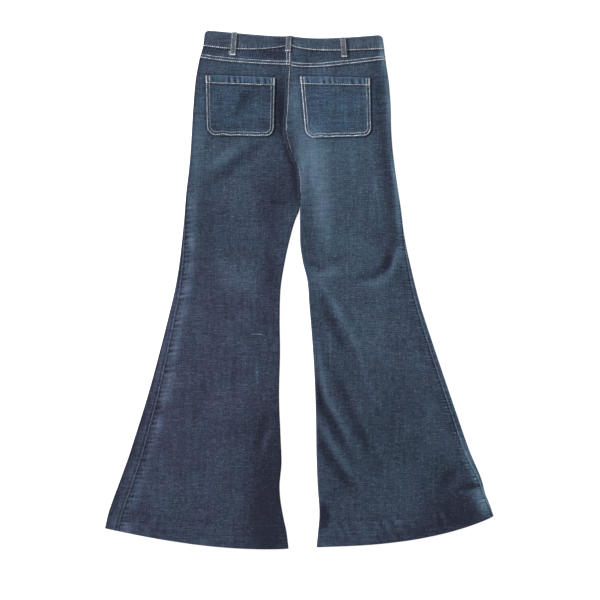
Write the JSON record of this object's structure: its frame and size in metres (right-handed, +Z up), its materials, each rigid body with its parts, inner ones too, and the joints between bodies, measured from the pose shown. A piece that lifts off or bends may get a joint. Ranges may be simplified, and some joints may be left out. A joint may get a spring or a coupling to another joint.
{
  "type": "flared jeans",
  "caption": "Flared stretch-denim jeans laid flat, back uppermost, with a shallow yoke, patch pockets, belt loops, waist button and zip fly.",
  "frame": {"origin": "centre of the laid-out garment's box, on the surface that it lies on", "axes": "+Y towards the waist, +Z up out of the surface, +X to the wearer's right as the garment lies with its back uppermost"},
  "size_m": [0.816, 1.0876, 0.0116],
  "materials": {
    "denim_back": "washed indigo denim with slub, faded over the seat and thighs",
    "denim_front": "washed indigo denim with slub",
    "denim_band": "washed indigo denim, two layers",
    "denim_pocket": "washed indigo denim with worn, puckered edges",
    "denim_loop": "folded indigo denim, worn at its edges",
    "thread": "matt ecru topstitching thread",
    "button_metal": "plain antique brass",
    "zip": "metal chain on woven tape"
  },
  "bodies": {
    "root": {"waistband": "denim_band", "yoke_left": "denim_back", "yoke_right": "denim_back", "back_left": "denim_back", "back_right": "denim_back", "front_left": "denim_front", "front_right": "denim_front", "pocket_left": "denim_pocket", "pocket_right": "denim_pocket", "belt_loop_back_left": "denim_loop", "belt_loop_back_centre": "denim_loop", "belt_loop_back_right": "denim_loop", "belt_loop_front_left": "denim_loop", "belt_loop_front_right": "denim_loop", "waist_button": "button_metal", "fly_zip": "zip"}
  },
  "joints": []
}
